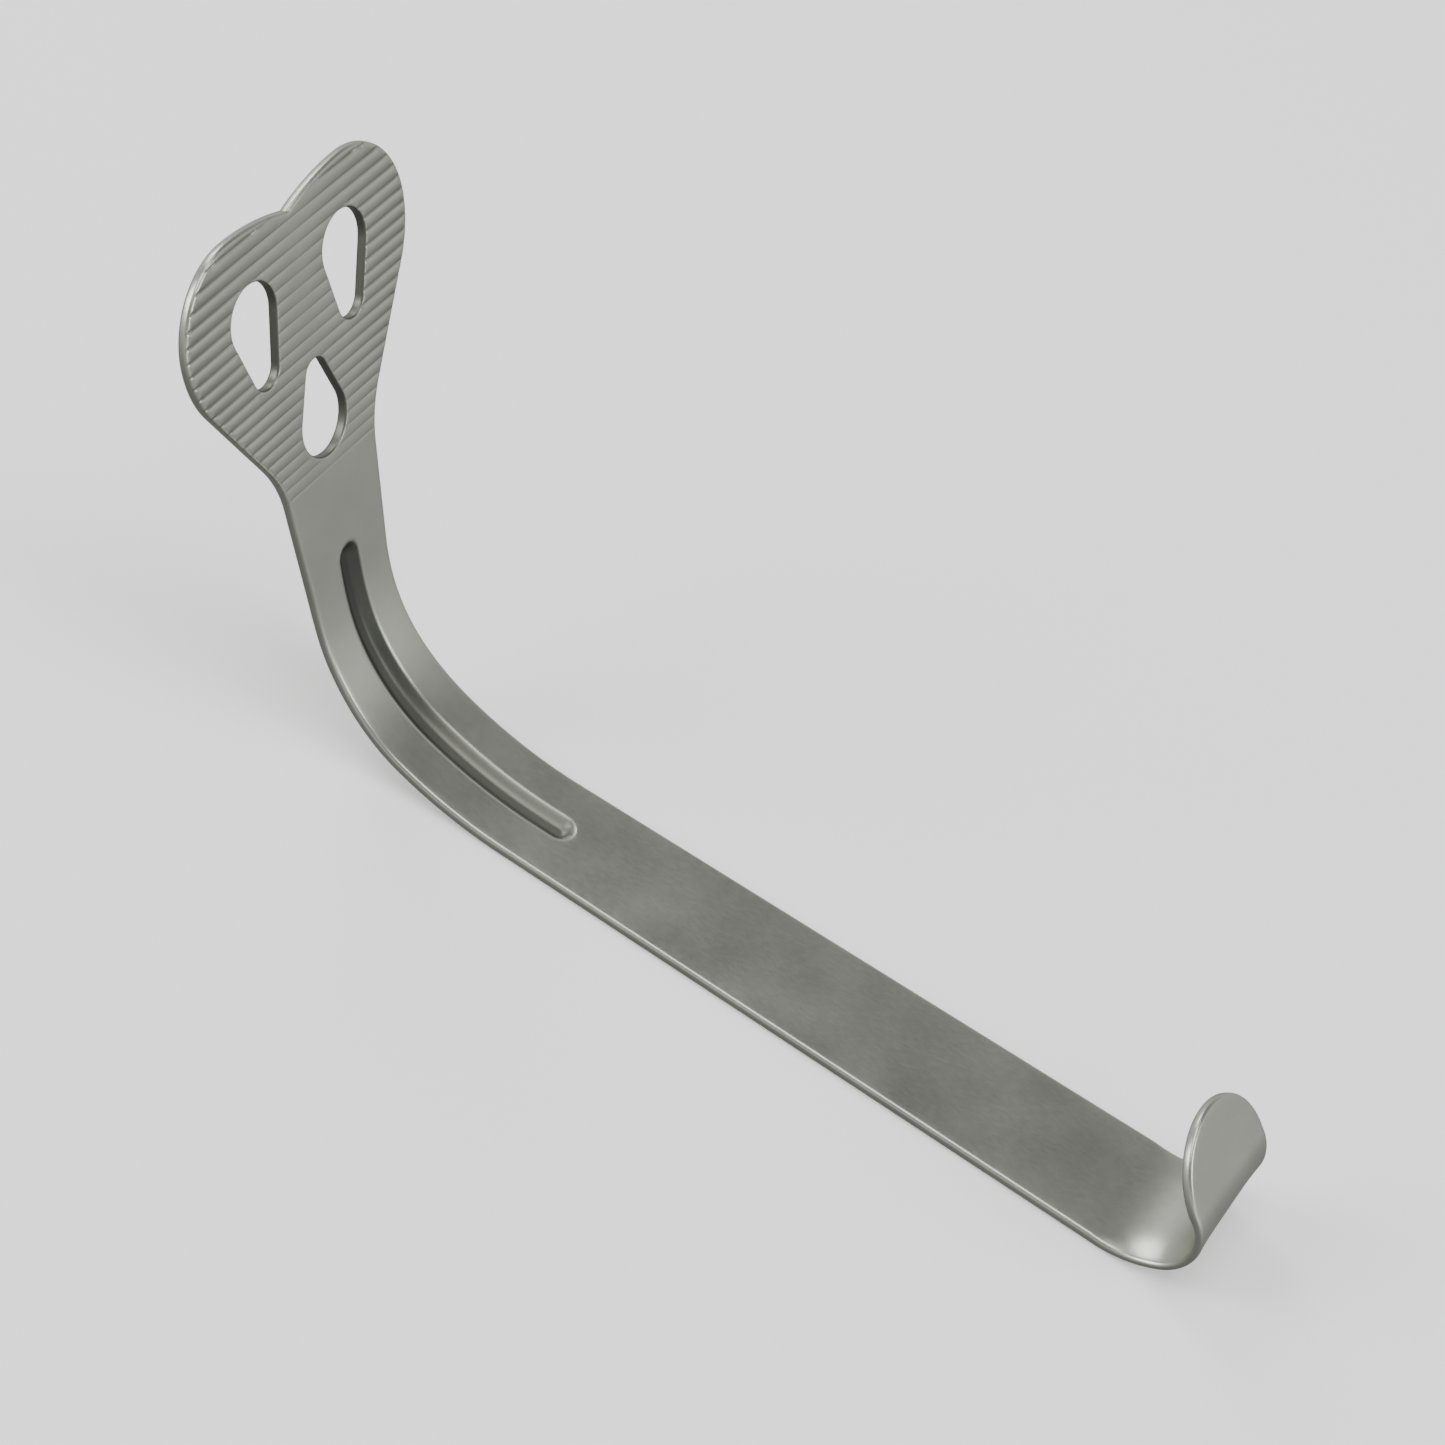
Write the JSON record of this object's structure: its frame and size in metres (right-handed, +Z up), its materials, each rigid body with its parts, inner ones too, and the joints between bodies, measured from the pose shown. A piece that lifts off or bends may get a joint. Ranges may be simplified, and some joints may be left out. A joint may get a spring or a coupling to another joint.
{
  "type": "tongue retractor",
  "caption": "Hand-held oral retractor bent from one sheet strip: windowed heart-shaped head with cross serrations, grooved bend, flat handle and finger hook.",
  "frame": {"origin": "centre of the underside of the whole object's box, in the plane of the handle's flat underside", "axes": "+X along the flat handle from the head towards the finger hook, +Y across the strip, +Z up, the hollow side that the head and the hook both rise to"},
  "size_m": [0.1412, 0.042, 0.0625],
  "materials": {
    "satin_steel": "satin, glass-beaded stainless steel with tumbled edges"
  },
  "bodies": {
    "root": {"fenestrated_head": "satin_steel", "grooved_shank": "satin_steel", "flat_handle": "satin_steel", "finger_hook": "satin_steel"}
  },
  "joints": []
}
